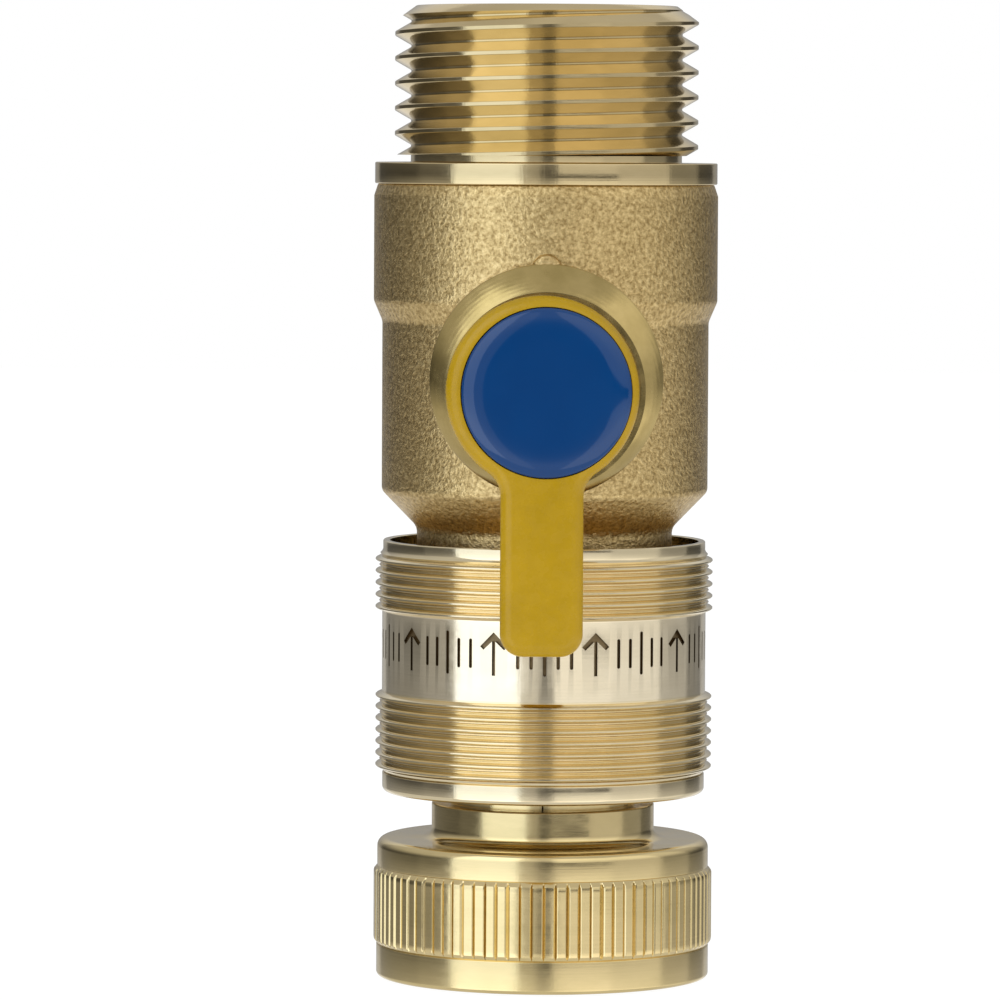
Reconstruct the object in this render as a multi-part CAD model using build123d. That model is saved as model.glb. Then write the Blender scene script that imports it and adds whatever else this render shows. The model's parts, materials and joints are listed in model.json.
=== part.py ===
from build123d import *
import os
from math import cos, hypot, pi, radians, sin, tan

# A brass garden-hose quick connector with a quarter-turn ball valve, in millimetres.
# The flow axis is Z. z = 0 is the open face of the hose nut, and the lever is on the -Y side.
# Top to bottom: male hose thread, ball valve, release sleeve, plug with a knurled hose nut.

os.makedirs("parts", exist_ok=True)

# ---- Driving dimensions ------------------------------------------------------------------

# 3/4-11.5 garden hose thread, right-handed
THREAD_PITCH = 25.4 / 11.5
THREAD_CREST_FLAT = 0.36
THREAD_HALF_ANGLE = 30.0
THREAD_SUNK = 0.10
THREAD_TRIM = 0.05
MALE_THREAD_PHASE = 200
FEMALE_THREAD_PHASE = 37
MALE_CREST_R = 13.495
MALE_ROOT_R = 12.06
FEMALE_CREST_R = 12.35
FEMALE_ROOT_R = 13.60

# Clearances: on a radius where pieces slide, between flat faces that slide, and where nothing moves
FIT = 0.05
FACE_GAP = 0.05
SNUG = 0.02

# How far a cutting shape runs past the face that it cuts
PAST = 1.0

# Plug with the hose nut
NUT_H = 12.37
NUT_LOWER_R = 14.85
NUT_UPPER_R = 14.79
NUT_EDGE_CHAMFER = 0.35
NUT_EDGE_R = 0.45
NUT_SOCKET_H = 10.6
KNURL_BOTTOM = 2.87
KNURL_TOP = 9.90
KNURL_R = 15.13
KNURL_DEPTH = 0.36
KNURL_TEETH = 90
KNURL_CORE_R = 14.60
KNURL_INNER_R = 14.10
FEMALE_THREAD_TOP = 8.2
NUT_MOUTH_R = 13.7
NUT_MOUTH_DEPTH = 1.3
COLLAR_R = 9.93
COLLAR_TOP = 15.5
COLLAR_FILLET = 0.7
SHANK_R = 8.20
SHANK_TOP = 33.6
SHANK_LEAD_IN = 0.9
PLUG_BORE_R = 5.5
WASHER_R = 12.7
WASHER_RECESS_R = 13.8
WASHER_HOLE_R = 6.6
WASHER_BOTTOM = 8.4

# Socket core, its locking balls and its seal
CORE_BOTTOM = 16.9
CORE_R = 11.0
CORE_BORE_R = SHANK_R + FIT
CORE_BORE_TOP = 34.4
CORE_MOUTH_CHAMFER = 0.8
CORE_EDGE_CHAMFER = 0.25
CORE_PASSAGE_R = 6.5
CORE_FLANGE_BOTTOM = 34.6
CORE_FLANGE_TOP = 36.1
CORE_SPIGOT_R = 9.5
CORE_SPIGOT_TOP = 41.4
SEAL_Z = 28.3
SEAL_GLAND_W = 2.4
SEAL_GLAND_R = 10.2
SEAL_SECTION_R = 0.98
SEAL_CENTRE_R = 9.205
LOCK_BALL_COUNT = 6
LOCK_BALL_R = 2.0
LOCK_BALL_Z = 21.35
LOCK_BALL_CENTRE_R = 9.35
LOCK_HOLE_R = LOCK_BALL_R + FIT
LOCK_HOLE_START_R = 7.75
LOCK_HOLE_CONE_START_R = 9.05
LOCK_HOLE_SLOPE = 0.4125
LOCK_GROOVE_R = LOCK_BALL_R + 0.06
RING_BOTTOM = 17.5
RING_TOP = 18.4
RING_GROOVE_R = 10.4
RING_R = 12.75
RING_GAP = 4.0

# Release sleeve: it slides up 3.2 mm while its inner taper lets each locking ball out 0.9 mm
SLEEVE_TRAVEL = 3.2
LOCK_BALL_TRAVEL = 0.9
TAPER_SLOPE = LOCK_BALL_TRAVEL / SLEEVE_TRAVEL
TAPER_GAP = 0.03
SLEEVE_BOTTOM = 16.5
SLEEVE_TOP = 38.97
SLEEVE_PLAIN_R = 14.38
SLEEVE_BOTTOM_FILLET = 1.05
SLEEVE_TOP_LAND = 1.1
SLEEVE_RIM_WALL = 0.60
SLEEVE_RIM_DEPTH = 2.6
SLEEVE_SPRING_R = 13.10
SLEEVE_LAND_R = CORE_R + FIT
SLEEVE_MOUTH_R = 13.0
SPRING_SEAT_Z = 26.6
BAND_R = 14.44
BAND_BOTTOM = 25.7
BAND_TOP = 32.5
LOWER_RIB_Z = 18.90
LOWER_RIB_PITCH = 1.035
LOWER_RIB_COUNT = 7
LOWER_RIB_R = 15.00
LOWER_MINOR_R = 14.64
UPPER_RIB_Z = 33.03
UPPER_RIB_PITCH = 1.0625
UPPER_RIB_COUNT = 5
UPPER_RIB_R = 15.04
UPPER_MINOR_R = 14.71
RIB_VALLEY_R = 14.42
RIB_CREST_FLAT = 0.12
ARROW_COUNT = 16
ARROW_DEPTH = 0.18
ARROW_Z = 29.1
ARROW_H = 3.2
ARROW_W = 2.4
ARROW_LINE = 0.5
SPRING_WIRE_R = 0.45
SPRING_MEAN_R = 12.1
SPRING_TURNS = 4.25

# Valve body casting
NECK_R = 11.38
NECK_CORNER_Z = 40.2
BARREL_R = 14.53
BARREL_CORNER_Z = 43.45
STEP_BOTTOM_Z = 58.4
STEP_TOP_Z = 60.35
UPPER_BARREL_R = 15.30
BODY_TOP = 70.7
BODY_TOP_R = 14.95
BODY_SHOULDER_Z = 69.5
WEB_BOTTOM = 41.5
WEB_BORE_R = 6.4
BODY_CAVITY_R = 10.4
BODY_SOCKET_R = 11.62
BODY_SOCKET_BOTTOM = 58.5
CAST_FILLET = 1.4

# Ball, seats and tailpiece
STEM_Z = 52.9
BALL_R = 10.0
BALL_BORE_R = 6.25
BALL_SLOT_W = 2.6
BALL_SLOT_FLOOR = 7.5
SEAT_R = 9.5
SEAT_HOLE_R = 6.6
SEAT_OUTER_OFFSET = 9.6
SEAT_INNER_OFFSET = 5.75
SEAT_POCKET_R = 9.55
TAILPIECE_TOP = 86.5
TAILPIECE_SPIGOT_R = 11.60
TAILPIECE_SPIGOT_BOTTOM = 58.65
TAILPIECE_STEP_R = 7.0
TAILPIECE_STEP_TOP = 64.0
INLET_R = 8.5
FLANGE_R = 15.23
FLANGE_TOP = 72.6
FLANGE_CHAMFER = 0.15
MALE_THREAD_BOTTOM = 73.25
MALE_START_R = 11.6
MALE_START_H = 1.45
TAILPIECE_RING_R = 0.78
TAILPIECE_RING_CENTRE_R = 12.42
TAILPIECE_RING_Z = 69.9
TAILPIECE_GLAND_R = 13.25
TAILPIECE_GLAND_Z = 69.05

# Stem boss: an oblique cone whose base is a little above the stem
BOSS_BASE_R = 10.15
BOSS_BASE_RISE = 0.85
BOSS_BASE_REACH = 16.0
BOSS_FACE_R = 8.70
BOSS_FACE_REACH = 17.3
BOSS_ROOT_REACH = 9.0
STOP_LUG_R = 1.34
STOP_LUG_RISE = 10.5
STOP_LUG_REACH = 15.9

# Stem, washers, lever, screw and cap: distances are measured outward from the flow axis
STEM_R = 3.0
STEM_COLLAR_R = 3.9
STEM_COLLAR_IN = 10.3
STEM_COLLAR_OUT = 11.6
STEM_TANG_W = 7.0
STEM_TANG_T = 2.5
STEM_TANG_IN = 7.6
STEM_FLATS_IN = 17.55
STEM_TIP = 18.9
STEM_ACROSS_FLATS = 4.4
STEM_RING_REACHES = (13.5, 15.6)
STEM_RING_R = 0.47
STEM_RING_CENTRE_R = 2.53
STEM_GROOVE_R = 2.05
STEM_GROOVE_W = 1.2
STEM_TAP_R = 1.50
STEM_TAP_IN = 12.8
COLLAR_BORE_R = 4.0
THRUST_SEAT = 12.2
THRUST_HOLE_R = 3.1
LEVER_BACK = 17.7
LEVER_FRONT = 21.0
LEVER_OFFSET = -0.35
LEVER_HUB_R = 8.36
LEVER_ARM_W = 7.18
LEVER_ARM_REACH = 22.85
LEVER_NECK_FILLET = 2.5
LEVER_END_FILLET = 2.0
LEVER_EDGE_FILLET = 1.1
CAP_R = 7.34
CAP_RECESS_R = 7.38
CAP_RECESS_FLOOR = 19.0
CAP_SKIRT_IN = 19.3
CAP_EDGE = 21.25
CAP_CROWN = 21.6
CAP_CHAMFER = 0.3
CAP_HOLLOW_R = 6.3
CAP_HOLLOW_ROOF = 20.75
SCREW_R = 1.48
SCREW_IN = 13.0
SCREW_HEAD_R = 2.75
SCREW_HEAD_FILLET = 0.4
SCREW_HEAD_IN = 19.5
SCREW_HEAD_OUT = 20.6
SCREW_DRIVE_W = 0.8
SCREW_DRIVE_DEPTH = 0.5
SPRING_WASHER_HOLE_R = 1.6
SPRING_WASHER_R = 2.9
SPRING_WASHER_SLIT = 0.4

# The stem's own frame: local Z points out of the valve along -Y, local Y is up
STEM_FRAME = Location(Plane(origin=(0, 0, STEM_Z), x_dir=(1, 0, 0), z_dir=(0, -1, 0)))


# ---- Shared shapes -----------------------------------------------------------------------

def turned(outline):
    """Turn an outline of (radius, height) or (radius, height, corner radius) points about Z."""
    face = make_face(Polyline(*[point[:2] for point in outline], close=True))
    for point in outline:
        if len(point) == 3:
            corner = face.vertices().sort_by_distance((point[0], point[1]))[0]
            face = fillet(corner, point[2])
    return revolve(Plane.XZ * face, Axis.Z, 360)


def tube(inner_r, outer_r, bottom, top):
    """A plain ring about Z."""
    return turned([(inner_r, bottom), (outer_r, bottom), (outer_r, top), (inner_r, top)])


def ring_torus(centre_r, section_r, height):
    """An O-ring about Z."""
    return Pos(0, 0, height) * Torus(centre_r, section_r)


def threaded_rod(root_r, crest_r, bottom, top, phase):
    """A rod with one helical ridge, right-handed, whose crest is cut true by what it meets later."""
    foot_r = root_r - THREAD_SUNK
    tip_r = crest_r + THREAD_TRIM
    slope = tan(radians(THREAD_HALF_ANGLE))
    half_foot = THREAD_CREST_FLAT / 2 + (crest_r - foot_r) * slope
    half_tip = THREAD_CREST_FLAT / 2 + (crest_r - tip_r) * slope
    section = make_face(Polyline(
        (foot_r, -half_foot), (tip_r, -half_tip), (tip_r, half_tip), (foot_r, half_foot), close=True))
    path = Helix(pitch=THREAD_PITCH, height=top - bottom, radius=root_r, center=(0, 0, bottom))
    ridge = sweep(Pos(0, 0, bottom) * (Plane.XZ * section), path=path, is_frenet=True)
    rod = Pos(0, 0, bottom - THREAD_PITCH / 2) * extrude(Circle(root_r), top - bottom + THREAD_PITCH)
    return Rot(0, 0, phase) * (rod + ridge)


def ribs(first_z, pitch, count, crest_r, minor_r):
    """Outline points of a row of turned ribs, each pair with a lower rib between them."""
    points = []
    for index in range(count):
        z = first_z + index * pitch
        points += [(RIB_VALLEY_R, z - pitch / 4), (crest_r, z - RIB_CREST_FLAT / 2)]
        points += [(crest_r, z + RIB_CREST_FLAT / 2), (RIB_VALLEY_R, z + pitch / 4)]
        if index < count - 1:
            points += [(minor_r, z + pitch / 2)]
    return points


def double_d(radius, across_flats, height):
    """A round bar with two flats, standing on the local XY plane."""
    section = Circle(radius) & Rectangle(2 * radius, across_flats)
    return extrude(section, height)


# ---- Plug and hose nut -------------------------------------------------------------------

def knurl_band():
    """Straight knurling around the hose nut: one tooth point and one valley point per tooth."""
    points = []
    for index in range(2 * KNURL_TEETH):
        radius = KNURL_R - KNURL_DEPTH * (index % 2)
        angle = pi * index / KNURL_TEETH
        points.append((radius * cos(angle), radius * sin(angle)))
    section = make_face(Polyline(*points, close=True)) - Circle(KNURL_INNER_R)
    return Pos(0, 0, KNURL_BOTTOM) * extrude(section, KNURL_TOP - KNURL_BOTTOM)


def hose_nut_socket():
    """What is cut out of the hose nut: its thread, the washer's undercut recess, a plain mouth."""
    tap_top = (FEMALE_THREAD_TOP + NUT_SOCKET_H) / 2 - THREAD_SUNK
    tap = threaded_rod(FEMALE_CREST_R, FEMALE_ROOT_R, -THREAD_PITCH, tap_top, FEMALE_THREAD_PHASE)
    recess = tube(0, WASHER_RECESS_R, FEMALE_THREAD_TOP, NUT_SOCKET_H)
    mouth = tube(0, NUT_MOUTH_R, -PAST, NUT_MOUTH_DEPTH)
    return [tap, recess, mouth]


def plug_adapter():
    """Plug and hose nut, turned from one bar: shank, lock groove, collar, nut and inner thread."""
    plug = turned([
        (PLUG_BORE_R, 0), (NUT_LOWER_R - NUT_EDGE_CHAMFER, 0), (NUT_LOWER_R, NUT_EDGE_CHAMFER),
        (NUT_LOWER_R, KNURL_BOTTOM), (KNURL_CORE_R, KNURL_BOTTOM), (KNURL_CORE_R, KNURL_TOP),
        (NUT_UPPER_R, KNURL_TOP), (NUT_UPPER_R, NUT_H, NUT_EDGE_R), (COLLAR_R, NUT_H, COLLAR_FILLET),
        (COLLAR_R, COLLAR_TOP), (SHANK_R, COLLAR_TOP), (SHANK_R, SHANK_TOP - SHANK_LEAD_IN),
        (SHANK_R - SHANK_LEAD_IN, SHANK_TOP), (PLUG_BORE_R, SHANK_TOP)])
    for cut in hose_nut_socket():
        plug -= cut
    plug -= ring_torus(LOCK_BALL_CENTRE_R, LOCK_GROOVE_R, LOCK_BALL_Z)
    return plug + knurl_band()


def hose_washer():
    return tube(WASHER_HOLE_R, WASHER_R, WASHER_BOTTOM, NUT_SOCKET_H - SNUG)


# ---- Socket: core, balls, seal, sleeve, spring and ring -----------------------------------

def lock_ball_angle(index):
    """Direction of one locking ball about Z, in degrees."""
    return 360 * index / LOCK_BALL_COUNT


def lock_ball_hole():
    """A radial hole along +X that narrows inward, so that a ball can't drop into the bore."""
    tip_r = LOCK_HOLE_R - LOCK_HOLE_SLOPE * (LOCK_HOLE_CONE_START_R - LOCK_HOLE_START_R)
    hole = turned([
        (0, LOCK_HOLE_START_R), (tip_r, LOCK_HOLE_START_R), (LOCK_HOLE_R, LOCK_HOLE_CONE_START_R),
        (LOCK_HOLE_R, CORE_R + PAST), (0, CORE_R + PAST)])
    return Pos(0, 0, LOCK_BALL_Z) * Rot(0, 90, 0) * hole


def socket_core():
    """Fixed inner tube of the socket: spigot, flange that guides the sleeve, seal gland, ball holes."""
    gland_bottom = SEAL_Z - SEAL_GLAND_W / 2
    gland_top = SEAL_Z + SEAL_GLAND_W / 2
    core = turned([
        (CORE_BORE_R + CORE_MOUTH_CHAMFER, CORE_BOTTOM), (CORE_R - CORE_EDGE_CHAMFER, CORE_BOTTOM),
        (CORE_R, CORE_BOTTOM + CORE_EDGE_CHAMFER), (CORE_R, RING_BOTTOM), (RING_GROOVE_R, RING_BOTTOM),
        (RING_GROOVE_R, RING_TOP), (CORE_R, RING_TOP), (CORE_R, CORE_FLANGE_BOTTOM),
        (SLEEVE_SPRING_R - FIT, CORE_FLANGE_BOTTOM), (SLEEVE_SPRING_R - FIT, CORE_FLANGE_TOP),
        (CORE_SPIGOT_R, CORE_FLANGE_TOP), (CORE_SPIGOT_R, CORE_SPIGOT_TOP),
        (CORE_PASSAGE_R, CORE_SPIGOT_TOP), (CORE_PASSAGE_R, CORE_BORE_TOP), (CORE_BORE_R, CORE_BORE_TOP),
        (CORE_BORE_R, gland_top), (SEAL_GLAND_R, gland_top), (SEAL_GLAND_R, gland_bottom),
        (CORE_BORE_R, gland_bottom), (CORE_BORE_R, CORE_BOTTOM + CORE_MOUTH_CHAMFER)])
    hole = lock_ball_hole()
    for index in range(LOCK_BALL_COUNT):
        core -= Rot(0, 0, lock_ball_angle(index)) * hole
    return core


def locking_ball(index):
    ball = Pos(LOCK_BALL_CENTRE_R, 0, LOCK_BALL_Z) * Sphere(LOCK_BALL_R)
    return Rot(0, 0, lock_ball_angle(index)) * ball


def socket_seal():
    return ring_torus(SEAL_CENTRE_R, SEAL_SECTION_R, SEAL_Z)


def sleeve_retaining_ring():
    """Open snap ring in the core's groove, which stops the sleeve at the bottom."""
    ring = tube(RING_GROOVE_R + SNUG, RING_R, RING_BOTTOM, RING_TOP)
    gap = Pos(0, RING_R, (RING_BOTTOM + RING_TOP) / 2) * Box(RING_GAP, RING_R, 2 * (RING_TOP - RING_BOTTOM))
    return ring - gap


def sleeve_spring():
    """Round-wire compression spring between the sleeve's shoulder and the core's flange."""
    bottom = SPRING_SEAT_Z + SPRING_WIRE_R + FACE_GAP
    height = CORE_FLANGE_BOTTOM - FACE_GAP - SPRING_WIRE_R - bottom
    path = Helix(pitch=height / SPRING_TURNS, height=height, radius=SPRING_MEAN_R, center=(0, 0, bottom))
    wire = Plane(origin=path @ 0, z_dir=path % 0) * Circle(SPRING_WIRE_R)
    return sweep(wire, path=path, is_frenet=True)


def pull_arrow():
    """An upward arrow, as a thin prism that cuts ARROW_DEPTH into the front of the sleeve."""
    shaft = Rectangle(ARROW_LINE, ARROW_H)
    head = Polyline((-ARROW_W / 2, 0), (0, ARROW_W / 2), (ARROW_W / 2, 0))
    head_outline = trace(Pos(0, ARROW_H / 2 - ARROW_W / 2) * head, ARROW_LINE)
    face = Plane(origin=(0, -(BAND_R - ARROW_DEPTH), ARROW_Z), x_dir=(1, 0, 0), z_dir=(0, -1, 0))
    return face * extrude(shaft + head_outline, PAST)


def release_sleeve():
    """Ribbed sleeve: ribs and arrow band outside; spring chamber, land and ball taper inside."""
    normal_reach = (LOCK_BALL_R + TAPER_GAP) * hypot(1, TAPER_SLOPE)
    taper_r_at_ball = LOCK_BALL_CENTRE_R + normal_reach
    taper_top = LOCK_BALL_Z + (taper_r_at_ball - SLEEVE_LAND_R) / TAPER_SLOPE
    stop_z = RING_TOP + FACE_GAP
    taper_bottom_r = taper_r_at_ball + TAPER_SLOPE * (LOCK_BALL_Z - stop_z)
    rim_r = SLEEVE_PLAIN_R - SLEEVE_RIM_WALL
    outline = [(SLEEVE_MOUTH_R, SLEEVE_BOTTOM), (SLEEVE_PLAIN_R, SLEEVE_BOTTOM, SLEEVE_BOTTOM_FILLET)]
    outline += [(SLEEVE_PLAIN_R, LOWER_RIB_Z - LOWER_RIB_PITCH / 3)]
    outline += ribs(LOWER_RIB_Z, LOWER_RIB_PITCH, LOWER_RIB_COUNT, LOWER_RIB_R, LOWER_MINOR_R)
    outline += [(BAND_R, BAND_BOTTOM), (BAND_R, BAND_TOP)]
    outline += ribs(UPPER_RIB_Z, UPPER_RIB_PITCH, UPPER_RIB_COUNT, UPPER_RIB_R, UPPER_MINOR_R)
    outline += [
        (SLEEVE_PLAIN_R, SLEEVE_TOP - SLEEVE_TOP_LAND), (SLEEVE_PLAIN_R, SLEEVE_TOP), (rim_r, SLEEVE_TOP),
        (rim_r, SLEEVE_TOP - SLEEVE_RIM_DEPTH), (SLEEVE_SPRING_R, SLEEVE_TOP - SLEEVE_RIM_DEPTH),
        (SLEEVE_SPRING_R, SPRING_SEAT_Z), (SLEEVE_LAND_R, SPRING_SEAT_Z), (SLEEVE_LAND_R, taper_top),
        (taper_bottom_r, stop_z), (SLEEVE_MOUTH_R, stop_z)]
    sleeve = turned(outline)
    arrow = pull_arrow()
    for index in range(ARROW_COUNT):
        sleeve -= Rot(0, 0, 360 * (index + 0.5) / ARROW_COUNT) * arrow
    return sleeve


# ---- Valve body, tailpiece, ball and seats -------------------------------------------------

def stem_boss():
    """Round boss in front of the ball, with a conical rim, and the lever's stop lug above it."""
    base = Pos(0, BOSS_BASE_RISE, BOSS_BASE_REACH) * Circle(BOSS_BASE_R)
    face = Pos(0, 0, BOSS_FACE_REACH) * Circle(BOSS_FACE_R)
    rim = loft([base, face])
    root = Pos(0, BOSS_BASE_RISE, BOSS_ROOT_REACH) * Circle(BOSS_BASE_R)
    pad = extrude(root, BOSS_BASE_REACH - BOSS_ROOT_REACH)
    lug = extrude(Circle(STOP_LUG_R), STOP_LUG_REACH - BOSS_ROOT_REACH)
    return STEM_FRAME * (pad + rim + Pos(0, STOP_LUG_RISE, BOSS_ROOT_REACH) * lug)


def body_cavity():
    """Everything cut out of the casting along the flow axis."""
    seat_floor = STEM_Z - SEAT_OUTER_OFFSET
    cavity_bottom = STEM_Z - SEAT_INNER_OFFSET
    return turned([
        (0, CORE_FLANGE_TOP - PAST), (CORE_SPIGOT_R + SNUG, CORE_FLANGE_TOP - PAST),
        (CORE_SPIGOT_R + SNUG, WEB_BOTTOM), (WEB_BORE_R, WEB_BOTTOM), (WEB_BORE_R, seat_floor),
        (SEAT_POCKET_R, seat_floor), (SEAT_POCKET_R, cavity_bottom), (BODY_CAVITY_R, cavity_bottom),
        (BODY_CAVITY_R, BODY_SOCKET_BOTTOM), (BODY_SOCKET_R, BODY_SOCKET_BOTTOM),
        (BODY_SOCKET_R, TAILPIECE_GLAND_Z), (TAILPIECE_GLAND_R, TAILPIECE_GLAND_Z),
        (TAILPIECE_GLAND_R, BODY_TOP + PAST), (0, BODY_TOP + PAST)])


def stem_bore():
    """Stepped hole for the stem, its collar and its thrust washer."""
    inner = BODY_CAVITY_R - 2 * PAST
    return STEM_FRAME * turned([
        (0, inner), (COLLAR_BORE_R, inner), (COLLAR_BORE_R, THRUST_SEAT), (STEM_R + FIT, THRUST_SEAT),
        (STEM_R + FIT, BOSS_FACE_REACH + PAST), (0, BOSS_FACE_REACH + PAST)])


def valve_body():
    casting = turned([
        (0, CORE_FLANGE_TOP), (NECK_R, CORE_FLANGE_TOP), (NECK_R, NECK_CORNER_Z, CAST_FILLET),
        (BARREL_R, BARREL_CORNER_Z, CAST_FILLET), (BARREL_R, STEP_BOTTOM_Z, CAST_FILLET),
        (UPPER_BARREL_R, STEP_TOP_Z, CAST_FILLET), (UPPER_BARREL_R, BODY_SHOULDER_Z, CAST_FILLET),
        (BODY_TOP_R, BODY_TOP), (0, BODY_TOP)])
    return casting + stem_boss() - body_cavity() - stem_bore()


def ball_seat(side):
    """One seat ring, above (side = 1) or below (side = -1) the ball."""
    near = STEM_Z + side * SEAT_INNER_OFFSET
    far = STEM_Z + side * SEAT_OUTER_OFFSET
    ring = tube(SEAT_HOLE_R, SEAT_R, min(near, far), max(near, far))
    return ring - Pos(0, 0, STEM_Z) * Sphere(BALL_R + SNUG)


def valve_ball():
    """Ball with its flow bore, open along Z at rest, and the slot that the stem's tang turns."""
    bore = Rot(90, 0, 0) * Cylinder(BALL_BORE_R, 3 * BALL_R)
    slot_depth = BALL_R - BALL_SLOT_FLOOR + PAST
    slot = Pos(0, 0, BALL_SLOT_FLOOR + slot_depth / 2) * Box(3 * BALL_R, BALL_SLOT_W, slot_depth)
    return STEM_FRAME * (Sphere(BALL_R) - bore - slot)


def male_thread():
    """The tailpiece's thread: a tapered start at the top, cut off square clear of the flange."""
    envelope = turned([
        (INLET_R, MALE_THREAD_BOTTOM), (MALE_CREST_R, MALE_THREAD_BOTTOM),
        (MALE_CREST_R, TAILPIECE_TOP - MALE_START_H), (MALE_START_R, TAILPIECE_TOP),
        (INLET_R, TAILPIECE_TOP)])
    bottom = MALE_THREAD_BOTTOM - THREAD_PITCH
    top = TAILPIECE_TOP + THREAD_PITCH
    return threaded_rod(MALE_ROOT_R, MALE_CREST_R, bottom, top, MALE_THREAD_PHASE) & envelope


def hose_tailpiece():
    """Turned end piece: spigot that holds the upper seat, flange and male hose thread."""
    seat_top = STEM_Z + SEAT_OUTER_OFFSET
    blank = turned([
        (SEAT_POCKET_R, TAILPIECE_SPIGOT_BOTTOM), (TAILPIECE_SPIGOT_R, TAILPIECE_SPIGOT_BOTTOM),
        (TAILPIECE_SPIGOT_R, BODY_TOP), (FLANGE_R - FLANGE_CHAMFER, BODY_TOP),
        (FLANGE_R, BODY_TOP + FLANGE_CHAMFER), (FLANGE_R, FLANGE_TOP - FLANGE_CHAMFER),
        (FLANGE_R - FLANGE_CHAMFER, FLANGE_TOP), (MALE_ROOT_R, FLANGE_TOP),
        (MALE_ROOT_R, MALE_THREAD_BOTTOM), (INLET_R, MALE_THREAD_BOTTOM),
        (INLET_R, TAILPIECE_STEP_TOP), (TAILPIECE_STEP_R, TAILPIECE_STEP_TOP),
        (TAILPIECE_STEP_R, seat_top), (SEAT_POCKET_R, seat_top)])
    return blank + male_thread()


def tailpiece_o_ring():
    return ring_torus(TAILPIECE_RING_CENTRE_R, TAILPIECE_RING_R, TAILPIECE_RING_Z)


# ---- Stem and lever ------------------------------------------------------------------------

def valve_stem():
    """Stem: tang in the ball's slot, collar that can't blow out, two O-ring grooves, two flats."""
    outline = [(STEM_TAP_R, STEM_TAP_IN), (0, STEM_TAP_IN), (0, STEM_COLLAR_IN)]
    outline += [(STEM_COLLAR_R, STEM_COLLAR_IN), (STEM_COLLAR_R, STEM_COLLAR_OUT)]
    outline += [(STEM_R, STEM_COLLAR_OUT)]
    for reach in STEM_RING_REACHES:
        inner = reach - STEM_GROOVE_W / 2
        outer = reach + STEM_GROOVE_W / 2
        outline += [(STEM_R, inner), (STEM_GROOVE_R, inner), (STEM_GROOVE_R, outer), (STEM_R, outer)]
    outline += [(STEM_R, STEM_FLATS_IN), (STEM_TAP_R, STEM_FLATS_IN)]
    shaft = turned(outline)
    flats = double_d(STEM_R, STEM_ACROSS_FLATS, STEM_TIP - STEM_FLATS_IN)
    flats -= Cylinder(STEM_TAP_R, STEM_TIP)
    tang_length = STEM_COLLAR_IN - STEM_TANG_IN
    tang = Pos(0, 0, STEM_TANG_IN + tang_length / 2) * Box(STEM_TANG_W, STEM_TANG_T, tang_length)
    return STEM_FRAME * (shaft + Pos(0, 0, STEM_FLATS_IN) * flats + tang)


def stem_o_ring(reach):
    return STEM_FRAME * ring_torus(STEM_RING_CENTRE_R, STEM_RING_R, reach)


def stem_thrust_washer():
    ring = tube(THRUST_HOLE_R, COLLAR_BORE_R - SNUG, STEM_COLLAR_OUT + SNUG, THRUST_SEAT)
    return STEM_FRAME * ring


def lever():
    """Flat lever pointing down at rest: hub and arm, set a little to one side of the cap's recess."""
    hub = Circle(LEVER_HUB_R)
    arm = Pos(0, -LEVER_ARM_REACH / 2) * Rectangle(LEVER_ARM_W, LEVER_ARM_REACH)
    outline = hub + arm
    end_corners = outline.vertices().group_by(Axis.Y)[0]
    outline = fillet(end_corners, LEVER_END_FILLET)
    neck_corners = [corner for corner in outline.vertices() if -LEVER_HUB_R < corner.Y < -LEVER_HUB_R / 2]
    outline = fillet(neck_corners, LEVER_NECK_FILLET)
    plate = extrude(Pos(LEVER_OFFSET, 0) * outline, LEVER_FRONT - LEVER_BACK)
    plate = fillet(plate.faces().sort_by(Axis.Z)[-1].edges(), LEVER_EDGE_FILLET)
    plate = fillet(plate.faces().sort_by(Axis.Z)[0].edges(), LEVER_EDGE_FILLET)
    recess = extrude(Circle(CAP_RECESS_R), LEVER_FRONT - CAP_RECESS_FLOOR + PAST)
    plate -= Pos(0, 0, CAP_RECESS_FLOOR - LEVER_BACK) * recess
    plate -= double_d(STEM_R + SNUG, STEM_ACROSS_FLATS + 2 * SNUG, LEVER_FRONT - LEVER_BACK)
    return STEM_FRAME * Pos(0, 0, LEVER_BACK) * plate


def lever_spring_washer():
    """Split washer under the screw's head."""
    ring = tube(SPRING_WASHER_HOLE_R, SPRING_WASHER_R, CAP_RECESS_FLOOR, SCREW_HEAD_IN)
    slit = Box(SPRING_WASHER_SLIT, 2 * SPRING_WASHER_R, PAST)
    return STEM_FRAME * (ring - Pos(0, SPRING_WASHER_R, (CAP_RECESS_FLOOR + SCREW_HEAD_IN) / 2) * slit)


def lever_screw():
    """Pan-head screw with a cross recess."""
    screw = turned([
        (0, SCREW_IN), (SCREW_R, SCREW_IN), (SCREW_R, SCREW_HEAD_IN), (SCREW_HEAD_R, SCREW_HEAD_IN),
        (SCREW_HEAD_R, SCREW_HEAD_OUT, SCREW_HEAD_FILLET), (0, SCREW_HEAD_OUT)])
    drive = Box(SCREW_DRIVE_W, SCREW_HEAD_R, SCREW_DRIVE_DEPTH)
    drive += Box(SCREW_HEAD_R, SCREW_DRIVE_W, SCREW_DRIVE_DEPTH)
    return STEM_FRAME * (screw - Pos(0, 0, SCREW_HEAD_OUT - SCREW_DRIVE_DEPTH / 2) * drive)


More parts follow.
